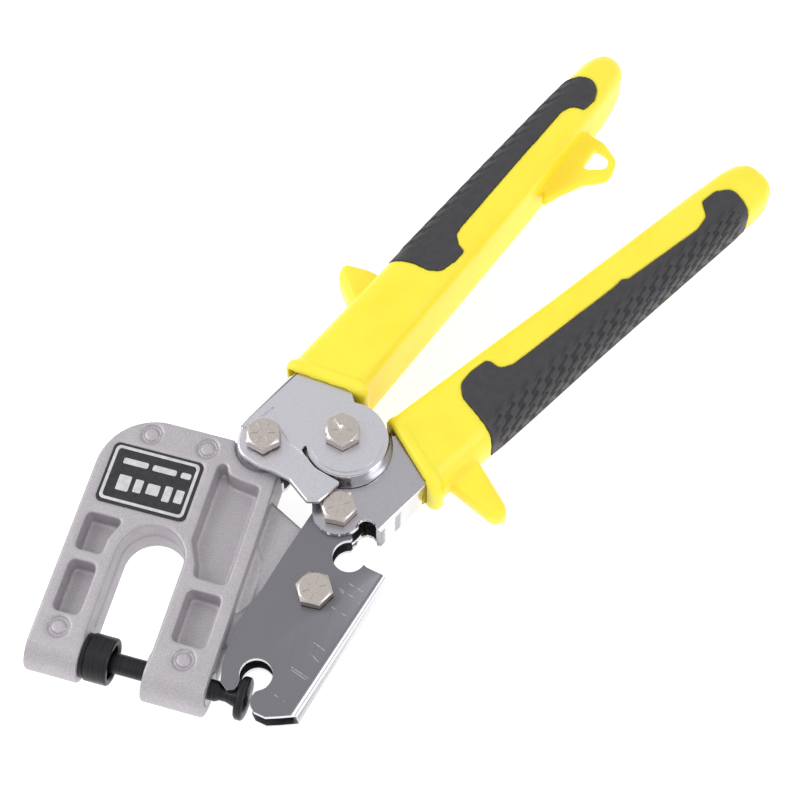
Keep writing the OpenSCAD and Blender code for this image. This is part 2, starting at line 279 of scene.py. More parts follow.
class Finish:  # a Principled material and the few nodes that its texture needs
    def __init__(self, name, colour, metallic=0.0, roughness=0.5):
        self.material = bpy.data.materials.new(name)
        self.material.use_nodes = True
        self.nodes = self.material.node_tree.nodes
        self.links = self.material.node_tree.links
        self.shader = self.nodes["Principled BSDF"]
        self.shader.inputs["Base Color"].default_value = (*colour, 1)
        self.shader.inputs["Metallic"].default_value = metallic
        self.shader.inputs["Roughness"].default_value = roughness
        self.place = self.nodes.new("ShaderNodeTexCoord").outputs["Object"]
        self.lastBump = None

    def set(self, socket, value):
        self.shader.inputs[socket].default_value = value

    def stretched(self, scale, turn=0.0):
        mapping = self.nodes.new("ShaderNodeMapping")
        mapping.inputs["Scale"].default_value = scale
        mapping.inputs["Rotation"].default_value = (0, 0, turn)
        self.links.new(self.place, mapping.inputs["Vector"])
        return mapping.outputs["Vector"]

    def noise(self, scale, detail=3.0, source=None, rough=0.5):
        node = self.nodes.new("ShaderNodeTexNoise")
        node.inputs["Scale"].default_value = scale
        node.inputs["Detail"].default_value = detail
        node.inputs["Roughness"].default_value = rough
        self.links.new(source or self.place, node.inputs["Vector"])
        return node.outputs["Fac"]

    def ramp(self, value, *stops):  # stops are (position, grey or colour)
        node = self.nodes.new("ShaderNodeValToRGB")
        bands = node.color_ramp.elements
        while len(bands) < len(stops):
            bands.new(0.5)
        for band, (position, colour) in zip(bands, stops):
            band.position = position
            band.color = (*colour, 1) if hasattr(colour, "__len__") else (colour, colour, colour, 1)
        self.links.new(value, node.inputs["Fac"])
        return node.outputs["Color"]

    def mix(self, first, second, share, blend="MIX"):
        node = self.nodes.new("ShaderNodeMix")
        node.data_type = "RGBA"
        node.blend_type = blend
        for socket, value in ((node.inputs[0], share), (node.inputs[6], first), (node.inputs[7], second)):
            if isinstance(value, bpy.types.NodeSocket):
                self.links.new(value, socket)
            else:
                socket.default_value = value if socket == node.inputs[0] else (*value, 1)
        return node.outputs[2]

    def figure(self, operation, *values):  # a sum worked out from sockets or plain numbers
        node = self.nodes.new("ShaderNodeMath")
        node.operation = operation
        for socket, value in zip(node.inputs, values):
            if isinstance(value, bpy.types.NodeSocket):
                self.links.new(value, socket)
            else:
                socket.default_value = value
        return node.outputs[0]

    def apart(self, vector):
        node = self.nodes.new("ShaderNodeSeparateXYZ")
        self.links.new(vector, node.inputs["Vector"])
        return node.outputs

    def drive(self, socket, value):
        self.links.new(value, self.shader.inputs[socket])

    def bump(self, height, depth, strength=1.0):  # depth in millimetres
        node = self.nodes.new("ShaderNodeBump")
        node.inputs["Strength"].default_value = strength
        node.inputs["Distance"].default_value = depth * mm
        self.links.new(height, node.inputs["Height"])
        if self.lastBump:
            self.links.new(self.lastBump, node.inputs["Normal"])
        self.lastBump = node.outputs["Normal"]
        self.links.new(self.lastBump, self.shader.inputs["Normal"])


castLook = {"colour": (0.52, 0.495, 0.525), "dark": (0.40, 0.38, 0.405), "worn": (0.56, 0.54, 0.565),
            "metallic": 0.45, "roughness": 0.5, "grain": 0.05}


def castAluminium():
    look = Finish("castAluminium", castLook["colour"], castLook["metallic"], castLook["roughness"])
    grain = look.noise(2600, 2.0)
    patches = look.noise(160, 4.0)
    speckle = look.ramp(grain, (0.36, castLook["dark"]), (0.62, castLook["colour"]))
    worn = look.mix(speckle, castLook["worn"], look.ramp(patches, (0.45, 0.0), (0.8, 0.35)))
    look.drive("Base Color", worn)
    look.drive("Roughness", look.ramp(look.noise(420, 3.0), (0.3, 0.40), (0.7, 0.56)))
    look.bump(grain, castLook["grain"], 0.55)
    look.bump(look.noise(620, 3.0), 0.08, 0.25)
    return look.material


# The edge colour is a painted highlight, given to the bends and cut edges of the sheets
sheetLook = {"upper": (0.70, 0.695, 0.745), "lower": (0.52, 0.51, 0.55), "lever": (0.25, 0.245, 0.27),
             "edge": (0.70, 0.69, 0.72), "edgeRoughness": 0.16, "grainDepth": 0.02}


def platedSheet(name, colour, roughness, turn, brushed=0.4):  # satin flats; the bends and cut edges get a lighter colour as a painted highlight
    look = Finish(name, colour, 1.0, roughness)
    streaks = look.noise(900, 3.0, look.stretched((1, 0.05, 1), turn))
    fine = look.noise(3600, 2.0)
    normal = look.nodes.new("ShaderNodeNewGeometry").outputs["Normal"]
    upright = look.figure("ABSOLUTE", look.apart(normal)["Z"])
    flat = look.ramp(upright, (0.80, 0.0), (0.985, 1.0))
    tone = look.mix(colour, [0.84 * part for part in colour], look.ramp(fine, (0.45, 0.0), (0.7, 1.0)))
    # faces that don't face straight up take the edge colour, a painted highlight
    look.drive("Base Color", look.mix(sheetLook["edge"], tone, flat))
    satin = look.ramp(look.mix(streaks, fine, 0.5), (0.3, roughness - 0.03), (0.72, roughness + 0.08))
    look.drive("Roughness", look.mix([sheetLook["edgeRoughness"]] * 3, satin, flat))
    look.bump(streaks, sheetLook["grainDepth"], brushed)
    look.bump(look.noise(60, 2.0), 0.12, 0.08)
    return look


scratches = {"width": 0.16, "colour": (0.75, 0.74, 0.78), "lines": [
    ((6.6, 3.2), (13.4, 0.9)), ((7.2, 2.4), (13.8, 0.1)), ((6, -3), (11, -4.6)), ((9, 5.4), (14.6, 3.8)),
    ((4.2, -15), (8.2, -16.6)), ((4.4, -18.6), (7.4, -20.4)), ((0.2, -24), (6.2, -26)),
    ((0.4, -24.8), (5.6, -26.6)), ((-3, -33), (1.6, -34.6))]}


def leverSheet():
    look = platedSheet("platedLever", sheetLook["lever"], 0.3, math.radians(-15), 0.6)
    place = look.apart(look.place)

    def planRule(xFactor, yFactor, offset):  # a straight-line rule of the plan position
        return look.figure("MULTIPLY_ADD", place["Y"], yFactor,
                           look.figure("MULTIPLY_ADD", place["X"], xFactor, offset))

    def within(value, limit):  # 1 where the value is nearer to nought than the limit
        return look.figure("LESS_THAN", look.figure("ABSOLUTE", value), limit)

    total = None
    for start, end in scratches["lines"]:
        run = (Vector(end) - Vector(start)) * mm
        middle = (Vector(start) + Vector(end)) / 2 * mm + leverPivot.xy
        ahead, length = run.normalized(), run.length
        sideways = ahead.y * middle.x - ahead.x * middle.y
        alongLine = within(planRule(ahead.x, ahead.y, -ahead.dot(middle)), length / 2)
        acrossLine = within(planRule(-ahead.y, ahead.x, sideways), scratches["width"] / 2 * mm)
        both = look.figure("MULTIPLY", alongLine, acrossLine)
        total = look.figure("MAXIMUM", total, both) if total else both
    patchy = look.ramp(look.noise(700, 2.0), (0.42, 0.0), (0.55, 0.85))
    plain = look.shader.inputs["Base Color"].links[0].from_socket
    look.drive("Base Color", look.mix(plain, scratches["colour"], look.figure("MULTIPLY", total, patchy)))
    return look


def blackSteel():
    look = Finish("blackSteel", (0.035, 0.035, 0.040), 0.75, 0.34)
    turned = look.noise(1500, 2.0, look.stretched((1, 0.05, 0.05)))
    look.drive("Roughness", look.ramp(look.noise(300, 3.0), (0.3, 0.26), (0.7, 0.44)))
    look.drive("Base Color", look.ramp(turned, (0.35, (0.022, 0.022, 0.026)), (0.75, (0.040, 0.039, 0.044))))
    look.bump(turned, 0.008, 0.3)
    return look.material


def platedFastener():
    look = Finish("platedFastener", (0.62, 0.56, 0.53), 1.0, 0.30)
    grain = look.noise(2400, 3.0)
    look.drive("Base Color", look.ramp(grain, (0.3, (0.56, 0.50, 0.47)), (0.7, (0.64, 0.585, 0.555))))
    look.drive("Roughness", look.ramp(grain, (0.3, 0.26), (0.7, 0.36)))
    look.bump(grain, 0.015, 0.5)
    return look.material


def turnedSteel():
    look = Finish("turnedSteel", (0.45, 0.45, 0.46), 1.0, 0.35)
    rings = look.noise(1800, 2.0, look.stretched((0.05, 0.05, 1)))
    look.drive("Roughness", look.ramp(rings, (0.3, 0.25), (0.7, 0.48)))
    look.bump(rings, 0.02, 0.5)
    return look.material


yellowLook = {"colour": (1.0, 0.83, 0.055), "deep": (1.0, 0.79, 0.04), "roughness": 0.34}


def yellowPlastic():
    look = Finish("yellowPlastic", yellowLook["colour"], 0.0, yellowLook["roughness"])
    look.set("Subsurface Weight", 0.35)
    look.set("Subsurface Radius", (0.006, 0.004, 0.0006))
    look.set("Subsurface Scale", 0.7)
    flow = look.noise(70, 3.0)
    look.drive("Base Color", look.ramp(flow, (0.3, yellowLook["deep"]), (0.6, yellowLook["colour"])))
    look.drive("Roughness", look.ramp(look.noise(900, 2.0), (0.3, 0.32), (0.7, 0.44)))
    look.bump(look.noise(1700, 2.0), 0.012, 0.5)
    look.bump(look.noise(90, 2.0), 0.08, 0.08)
    return look.material


# the groove colour is painted shade that darkens the dash grooves
padLook = {"colour": (0.034, 0.032, 0.036), "worn": (0.046, 0.043, 0.049), "grooveShade": (0.010, 0.009, 0.011),
           "roughness": 0.5}


def darkPad():
    look = Finish("darkPad", padLook["colour"], 0.0, padLook["roughness"])
    look.set("Sheen Weight", 0.08)
    look.set("Sheen Roughness", 0.5)
    grain = look.noise(2600, 3.0)
    rubbed = look.ramp(look.noise(420, 4.0), (0.35, padLook["colour"]), (0.8, padLook["worn"]))
    dashShade = look.nodes.new("ShaderNodeAttribute")
    dashShade.attribute_name = "dashShade"
    # the dash grooves are darkened with painted shade, following the stored dash depth
    look.drive("Base Color", look.mix(rubbed, padLook["grooveShade"], dashShade.outputs["Fac"]))
    look.drive("Roughness", look.ramp(grain, (0.3, 0.48), (0.7, 0.66)))
    look.bump(grain, 0.03, 0.6)
    return look.material


def labelPaint():
    look = Finish("labelPaint", (0.03, 0.029, 0.034), 0.3, 0.38)
    flecks = look.noise(700, 3.0)
    look.drive("Base Color", look.ramp(flecks, (0.3, (0.024, 0.023, 0.027)), (0.75, (0.042, 0.040, 0.046))))
    look.bump(look.noise(2200, 2.0), 0.015, 0.5)
    return look.material


def labelSilver():
    look = Finish("labelSilver", (0.72, 0.71, 0.74), 0.85, 0.34)
    look.drive("Roughness", look.ramp(look.noise(1200, 3.0), (0.3, 0.28), (0.7, 0.46)))
    shade = look.noise(500, 3.0)
    look.drive("Base Color", look.ramp(shade, (0.3, (0.62, 0.61, 0.64)), (0.7, (0.78, 0.77, 0.80))))
    return look.material


print("materials")
castMetal = castAluminium()
handleSteel = platedSheet("platedHandle", sheetLook["upper"], 0.3, gripTurns["upper"]).material
lowerSteel = platedSheet("platedLowerHandle", sheetLook["lower"], 0.24, gripTurns["lower"]).material
leverSteel = leverSheet().material
blackMetal = blackSteel()
fastenerMetal = platedFastener()
insertMetal = turnedSteel()
yellow = yellowPlastic()
padRubber = darkPad()
labelDark = labelPaint()
labelBright = labelSilver()


head = {
    "left": -76.2, "right": -21.2, "top": 39.9, "shoulder": 35, "foot": -36, "half": 8, "corner": 18,
    "slotLeft": -60, "slotRight": -40.2, "slotTop": 6.2, "mouldStep": 0.45, "pocketDepth": 6.6, "draft": 0.12,
    "earSeat": 9.1, "seatHalf": 6, "pivotBoss": 6.2, "lugHalf": 3, "stepHalf": 3.8, "labelFloor": 7.3,
    "voxel": 0.45, "passes": 4,
    "pockets": [
        [(-73, 5.6, 1.6), (-61.4, 5.6, 1.2), (-64.2, -1.4, 4), (-64.3, -6.8, 1.2), (-73, -6.8, 1.8)],
        [(-72.7, -10, 1.8), (-64.2, -10, 1.8), (-64.2, -26.8, 1.8), (-72.7, -26.8, 1.8)],
        [(-35.9, -9.8, 1.8), (-25.2, -9.8, 1.8), (-25.2, -26.7, 1.8), (-35.9, -26.7, 1.8)],
        [(-40, 31.5, 1.6), (-37.4, 31.5, 0.8), (-36, 28.6, 2), (-32, 27.6, 4), (-25.2, 27.0, 1.2),
         (-25.2, -6.3, 1.6), (-35.6, -6.3, 1.4), (-36.4, -2.4, 3), (-40, 5, 2.2)]],
    "labelSeat": [(-72.7, 9.4, 2.2), (-43.5, 9.4, 2.2), (-43.5, 30, 2.2), (-72.7, 30, 2.2)],
    "lug": [(-22, 25.5, 0), (-9.5, 19, 1), (4, 7.5, 7), (5.5, -5, 7), (-4.5, -8.2, 4), (-22, -24, 0)],
    "lugStep": [(-22, 12, 0), (-20, 8, 2), (-18.2, 5.6, 2), (-17.7, 0, 3), (-17.3, -8, 2), (-19.6, -11, 2),
                (-22, -14, 0)],
    "pinMarks": [(-62.8, 34.8), (-44.8, 34.8), (-68.7, -31.5), (-30.2, -31.3)],
    "pinFace": (2.2, 6.5, 7.9), "pinGroove": [(0, 6.8), (3.2, 6.8), (3.45, 8.6), (0, 8.6)],
    "pivotHoles": {"a": 4.4, "d": 5},
    "armBores": [(-68, -59.9, 4), (-41, -20, 5)]}


def pocket(corners):  # a tapered cutter that is smaller at its floor, one for each face
    cutters = []
    for side in (1, -1):
        tool = drawFace("pocketCutter", [(x, y, side * (head["half"] + 1)) for x, y in rounded(corners)])
        centre = sum((Vector(corner[:2]) for corner in corners), Vector((0, 0))) / len(corners)
        depth = head["pocketDepth"] + 1
        bpy.ops.mesh.extrude_region_move(TRANSFORM_OT_translate={"value": (0, 0, -side * depth * mm)})
        bpy.ops.transform.resize(value=(1 - head["draft"], 1 - head["draft"] / 1.6, 1),
                                 center_override=(centre.x * mm, centre.y * mm, 0))
        leaveEdit()
        fixNormals(tool)
        cutters.append(tool)
    return cutters


def slotHalf(low, high, spare):  # one mould half's share of the slot; a small step is left where they meet
    middle = (head["slotLeft"] + head["slotRight"]) / 2
    radius = (head["slotRight"] - head["slotLeft"]) / 2
    crown = head["slotTop"] - radius
    reach = radius + spare
    turns = [math.pi * i / 24 for i in range(25)]
    arch = [(middle + reach * math.cos(turn), crown + reach * math.sin(turn)) for turn in turns]
    feet = [(middle - reach, head["foot"] - 5), (middle + reach, head["foot"] - 5)]
    return plate("slotCutter", arch + feet, low, high)


def makeHead():
    half, foot, shoulder = head["half"], head["foot"], head["shoulder"]
    through = half + 1
    outline = [(head["left"], foot, 0), (head["left"], head["top"], head["corner"]), (-30, head["top"], 0),
               (-28, shoulder, 1), (head["right"], shoulder, 2), (head["right"], foot, 0)]
    body = plate("headFrame", rounded(outline, 14), -half, half)
    overlap = 0.6
    cut(body, slotHalf(-through, overlap, 0))
    cut(body, slotHalf(0, through, head["mouldStep"]))
    for x0, x1 in ((head["left"], head["slotLeft"]), (head["slotRight"], head["right"])):  # round arm ends
        end = bar("armEnd", half, x0, x1, sides=64)
        join(body, move(move(end, turn=math.pi / 2, axis="Y"), (0, foot, 0)))
    cutters = [tool for corners in head["pockets"] for tool in pocket(corners)]
    for low, high in ((head["seatHalf"], through), (-through, -head["seatHalf"])):
        cutters.append(bar("earSeat", head["earSeat"], low, high, boltPlaces["a"], 64))
    cutters.append(plate("labelSeat", rounded(head["labelSeat"]), head["labelFloor"], through))
    cut(body, *cutters)
    join(body, bar("pivotBoss", head["pivotBoss"], -head["seatHalf"], head["seatHalf"], boltPlaces["a"], 64))
    join(body, plate("pivotLug", rounded(head["lug"], 8), -head["lugHalf"], head["lugHalf"]))
    join(body, plate("lugStep", rounded(head["lugStep"]), -head["stepHalf"], head["stepHalf"]))
    for place in head["pinMarks"]:  # ejector pin marks
        cut(body, move(lathe("pinMark", head["pinGroove"], steps=36), (*place, 0)))
        join(body, bar("pinFace", *head["pinFace"], place, 36))
    for place, radius in head["pivotHoles"].items():
        cut(body, bar("pivotHole", radius, -through, through, boltPlaces[place]))
    for x0, x1, radius in head["armBores"]:  # die socket and punch bore
        bore = move(bar("armBore", radius, x0, x1), turn=math.pi / 2, axis="Y")
        cut(body, move(bore, (0, punchLine, 0)))
    recast(body, head["voxel"], head["passes"])
    finish(body, castMetal, "frame", "cast_aluminium", "head_frame")


print("head frame")
makeHead()


# The plain blocks and bars stand in place of lettering; a block's last value makes it lower
label = {
    "left": -72.5, "right": -43.7, "low": 9.6, "high": 29.8, "corner": 2, "face": 8.1, "back": 7.35,
    "blocks": [(-67.5, -63.5, 0), (-62.2, -59.6, 1), (-58.2, -54.2, 2), (-52.8, -50.4, 0), (-49.2, -46.6, 1)],
    "blockLow": 14.4, "blockHigh": 19.6, "bars": [(-68, -60), (-58.6, -51), (-49.6, -46.4)], "barLow": 23.2,
    "barHigh": 25.2, "raise": 0.25}


def inset(amount, corner):  # the plate's outline, smaller all round
    left, right = label["left"] + amount, label["right"] - amount
    low, high = label["low"] + amount, label["high"] - amount
    return rounded([(left, low, corner), (right, low, corner), (right, high, corner), (left, high, corner)])


def raised(name, left, right, low, high, corner):  # a block that stands on the plate
    corners = [(left, low, corner), (right, low, corner), (right, high, corner), (left, high, corner)]
    return plate(name, rounded(corners, 3), label["back"] + label["raise"], label["face"] - 0.05)


def makeLabel():
    back = plate("labelPlate", inset(0.05, label["corner"]), label["back"], label["face"] - label["raise"])
    soften(back, 0.15)
    finish(back, labelDark, "frame", "label", "label_plate")
    border = plate("labelBorder", inset(0.95, 1.6), label["back"] + label["raise"], label["face"])
    cut(border, plate("borderHole", inset(1.95, 1.0), 7, 9))
    for left, right, shape in label["blocks"]:
        low, high = label["blockLow"] + 0.5 * shape, label["blockHigh"] - 0.3 * shape
        join(border, raised("labelBlock", left, right, low, high, 0.4))
    for left, right in label["bars"]:
        join(border, raised("labelBar", left, right, label["barLow"], label["barHigh"], 0.6))
    soften(border, 0.12)
    finish(border, labelBright, "frame", "label")


print("label")
makeLabel()


punch = {"shaft": 3.1, "neck": 2.4, "tip": -52.4, "disc": -12.6, "discRadius": 6.5, "edge": 0.25}


def makePunch():
    tip, disc, shaft, neck, wide = (punch[key] for key in ("tip", "disc", "shaft", "neck", "discRadius"))
    profile = [(0, tip), (shaft - 0.8, tip), (shaft, tip + 0.8)]
    profile += [(shaft, disc - 6.6), (neck, disc - 5.2), (neck, disc - 3.4), (shaft, disc - 1)]
    profile += [(shaft, disc - 0.3), (wide - 0.6, disc), (wide, disc + 0.6), (wide, disc + 2.4)]
    profile += [(wide - 0.7, disc + 2.8), (3.2, disc + 3.2), (0, disc + 3.3)]
    rod = lathe("punchRod", profile, "X")
    soften(rod, punch["edge"])
    finish(move(rod, (0, punchLine, 0)), blackMetal, "punch", "black_steel", "punch")


die = {"stem": 4, "stemEnd": -68, "face": -58.8, "rim": -51.2, "radius": 7.2, "bore": 5.2, "floor": -56.8,
       "edge": 0.12}


def makeDie():
    stem, end, face, rim = (die[key] for key in ("stem", "stemEnd", "face", "rim"))
    radius, bore, floor = (die[key] for key in ("radius", "bore", "floor"))
    profile = [(0, end), (stem, end), (stem, face), (radius - 0.5, face), (radius, face + 0.5)]
    profile += [(radius, rim - 0.5), (radius - 0.45, rim), (bore + 0.5, rim), (bore, rim - 0.6)]
    profile += [(bore, floor + 0.2), (bore - 0.5, floor), (0, floor)]
    cup = lathe("dieCup", profile, "X", steps=96)
    soften(cup, die["edge"])
    finish(move(cup, (0, punchLine, 0)), blackMetal, "frame", "black_steel", "die_cup")


print("punch and die")
makePunch()
makeDie()


lever = {"fold": ((6.2, -37.3), (19.1, 10.4)), "half": 5.1, "bend": 2.4, "edge": 0.28}


def bendEdges(piece, line, half, radius):  # rounds the long outer edges of a folded channel
    edit(piece, "EDGE")
    choose(piece, "EDGE", lambda edge: all(abs(abs(v.co.z) / mm - half) < 0.05 for v in edge.verts)
           and all(onLine(v.co, *line) for v in edge.verts)
           and abs(edge.verts[0].co.z - edge.verts[1].co.z) < 0.01 * mm and edge.calc_length() > 2 * mm)
    bpy.ops.mesh.bevel(offset=radius * mm, segments=7, profile=0.5, affect="EDGES")
    leaveEdit()


def makeLever():
    channel = fromNode("lever_channel", "leverChannel")
    bendEdges(channel, lever["fold"], lever["half"], lever["bend"])
    soften(channel, lever["edge"])
    finish(channel, leverSteel, "lever", "chromed_sheet", "lever_channel")


print("lever")
makeLever()


lowerHandle = {"fold": ((13.5, 23.5), (21.8, 40.2)), "half": 7.1, "bend": 2.8, "edge": 0.14}


def makeLowerChannel():
    channel = fromNode("lower_channel", "lowerChannel")
    bendEdges(channel, lowerHandle["fold"], lowerHandle["half"], lowerHandle["bend"])
    soften(channel, lowerHandle["edge"])
    finish(channel, lowerSteel, "lower_handle", "chromed_sheet", "lower_channel")


print("lower handle")
makeLowerChannel()


upperHandle = {
    "out": 13.2, "fold": ((-50.3, 28.2), (-50.3, 56.2)), "bend": 2.2, "edge": 0.25,
    "boss": (-3.9, 47.2), "bossRadius": 12.4, "skirtSpan": 180, "skirtTurn": 33,
    "skirt": [(-1.5, 11.5), (-1.5, 12.9), (-0.35, 13.12), (0.25, 12.7), (0.6, 11.7), (0.8, 10.2), (1.1, 8.8),
              (1.55, 7.9), (1.5, 7.45), (0.4, 7.45), (-0.3, 8.6), (-0.7, 10), (-1.5, 11.5)],
    "tongueDrop": 0.5, "tongueUnder": 11.3, "tongueThick": 1.45, "tongueBend": 0.9, "boltHole": 3.1,
    "tongue": [(-36.2, 43, 1), (-35.6, 34.2, 7.5), (-27.5, 31.4, 5), (-22.5, 31, 3), (-17, 29.6, 2),
               (-9.8, 24.2, 0.8), (-6, 25.2, 0.8), (-1.8, 33, 0.5), (-5, 33.9, 4), (-10.6, 35.6, 4),
               (-15.4, 39.4, 1), (-20, 42.4, 1), (-24, 46.2, 1), (-28.2, 53, 0.6)],
    "hollow": [(-34.6, 44, 1), (-34, 35, 6.5), (-27.1, 33.0, 4), (-22.2, 32.6, 3), (-16.4, 31.2, 2),
               (-9.9, 26.2, 0.8), (-4, 24, 0), (2, 34, 0), (-5, 40, 0), (-15.4, 43.6, 1), (-28.6, 57, 0.6)],
    "tongueSeat": [(-45, 42.6), (-34.6, 42.6), (-28.6, 51.4), (-24.6, 45.4), (-20.6, 41.6), (-15.4, 39),
                   (-10.6, 35.8), (-5, 34.2), (-1, 33.4), (0, 20), (-45, 20)],
    "skirtSeat": 17, "earSpan": 170, "earTurn": 320,
    "earWall": [(6.5, 6.4), (7.9, 6.4), (7.9, 11.9), (6.5, 11.9), (6.5, 6.4)]}


def inGrip(points, turn):  # points measured in a grip's own directions, put in plan
    spin = Matrix.Rotation(turn, 2)
    return [tuple(spin @ Vector(point)) for point in points]


def makeSkirt():  # drawn wall under the boss; its profile is measured out from the boss's rim
    profile = [(upperHandle["bossRadius"] + out, height) for out, height in upperHandle["skirt"]]
    wall = lathe("bossSkirt", profile, angle=math.radians(upperHandle["skirtSpan"]), steps=40)
    return move(wall, (*upperHandle["boss"], 0), math.radians(upperHandle["skirtTurn"]))


def makeTongue():  # the ear and the strip over the link bolt, pressed a little lower than the plate
    top = upperHandle["out"] - upperHandle["tongueDrop"]
    tongue = plate("handleTongue", rounded(upperHandle["tongue"], 7), upperHandle["tongueUnder"], top)
    edit(tongue, "EDGE")

    def onFreeSide(corner):  # the left, lower and tip sides, but not those at the crease or the slit
        x, y, z = corner.co / mm
        return z > top - 0.05 and y < 43 and not (x > -17 and y > 32) and not (x > -7 and y > 25.6)

    choose(tongue, "EDGE", lambda edge: all(onFreeSide(corner) for corner in edge.verts))
    bpy.ops.mesh.bevel(offset=upperHandle["tongueBend"] * mm, segments=4, affect="EDGES")
    leaveEdit()
    hollow = plate("tongueHollow", rounded(upperHandle["hollow"], 7), 8, top - upperHandle["tongueThick"])
    return cut(tongue, hollow, bar("boltHole", upperHandle["boltHole"], 8, 15, boltPlaces["a"]))


def makeUpperChannel():
    channel = fromNode("upper_channel", "upperChannel")
    fold = inGrip(upperHandle["fold"], gripTurns["upper"])
    bendEdges(channel, fold, upperHandle["out"], upperHandle["bend"])
    cut(channel, plate("tongueSeat", upperHandle["tongueSeat"], 6.05, 15))
    cut(channel, bar("skirtSeat", upperHandle["skirtSeat"], 6, 11.38, upperHandle["boss"], 64))
    join(channel, makeTongue(), makeSkirt())
    earWall = lathe("earWall", upperHandle["earWall"], angle=math.radians(upperHandle["earSpan"]), steps=40)
    join(channel, move(earWall, (*boltPlaces["a"], 0), math.radians(upperHandle["earTurn"])))
    soften(channel, upperHandle["edge"])
    finish(channel, handleSteel, "upper_handle", "chromed_sheet", "upper_channel")


print("upper handle")
makeUpperChannel()


# A bolt's seat is (height of its bearing face, body, turn of the hexagon in degrees)
bolt = {"flats": 10, "head": 3.8, "shank": 3, "marks": 6, "markHeight": 0.28, "edge": 0.14, "nut": 6,
        "tail": 1.5, "ridges": 3, "ridgePitch": 0.55}
seats = {"a": (13.4, "frame", 46), "b": (13.8, "upper_handle", 46), "c": (7.1, "lower_handle", 3),
         "d": (5.3, "frame", 2)}


def hexBar(name, low, high, turn):  # a six-sided bar is added with a corner towards +Y
    piece = bar(name, bolt["flats"] / math.sqrt(3), low, high, sides=6)
    return move(piece, turn=math.radians(turn) + math.pi / 2)


def makeBolt(place, seat, body, turn):
    half, top, tail = bolt["flats"] / 2, seat + bolt["head"], -seat - bolt["nut"]
    screw = hexBar("bolt_" + place, seat + 0.35, top, turn)
    crown = [(0, seat), (half + 2, seat), (half + 2, seat + 2.7), (half + 0.75, seat + 3.0),
             (half - 0.35, seat + 3.66), (half - 0.7, top), (0, top)]
    combine(screw, [lathe("crown", crown)], "INTERSECT")
    join(screw, bar("washerFace", half - 0.25, seat, seat + 0.5))
    join(screw, bar("shank", bolt["shank"], tail - bolt["tail"] + 0.4, seat + 0.3, sides=40))
    thread = [(0, tail - bolt["tail"]), (2.4, tail - bolt["tail"]), (2.7, tail - 1.2)]
    for ridge in range(bolt["ridges"]):  # thread ridges on the end that stands out of the nut
        base = tail - 1.1 + bolt["ridgePitch"] * ridge
        thread += [(2.98, base), (2.62, base + 0.28)]
    join(screw, lathe("thread", thread + [(2.9, tail + 0.9), (0, tail + 0.9)], steps=32))
    for i in range(bolt["marks"]):  # raised grade lines
        mark = block("gradeMark", (1.5, -0.24, seat + 3.5), (3.7, 0.24, top + bolt["markHeight"]))
        join(screw, move(mark, turn=math.radians(turn + 30) + i * full / bolt["marks"]))
    soften(screw, bolt["edge"])
    move(screw, (*boltPlaces[place], 0))
    finish(screw, fastenerMetal, body, "plated_fastener", "bolt_" + place)


def makeNut(place, seat, body, turn):
    half = bolt["flats"] / 2
    nut = hexBar("nut_" + place, -seat - 4.6, -seat, turn)
    crown = [(0, -seat), (half + 0.2, -seat), (half + 0.9, -seat - 0.4), (half + 0.9, -seat - 4.0),
             (half + 0.3, -seat - 4.4), (half - 0.5, -seat - 4.6), (0, -seat - 4.6)]
    combine(nut, [lathe("nutCrown", crown)], "INTERSECT")
    collar = [(0, -seat - 4), (4.3, -seat - 4), (4.3, -seat - 5.2), (4.0, -seat - 5.75), (3.5, -seat - 6),
              (0, -seat - 6)]
    join(nut, lathe("collar", collar, steps=48))
    cut(nut, bar("nutBore", 3.02, -seat - 8, -seat + 2, sides=40))
    soften(nut, bolt["edge"])
    move(nut, (*boltPlaces[place], 0))
    finish(nut, fastenerMetal, body, "plated_fastener", "nut_" + place)


print("bolts and nuts")
for place, (seat, body, turn) in seats.items():
    makeBolt(place, seat, body, turn)
    makeNut(place, seat, body, turn + 15)


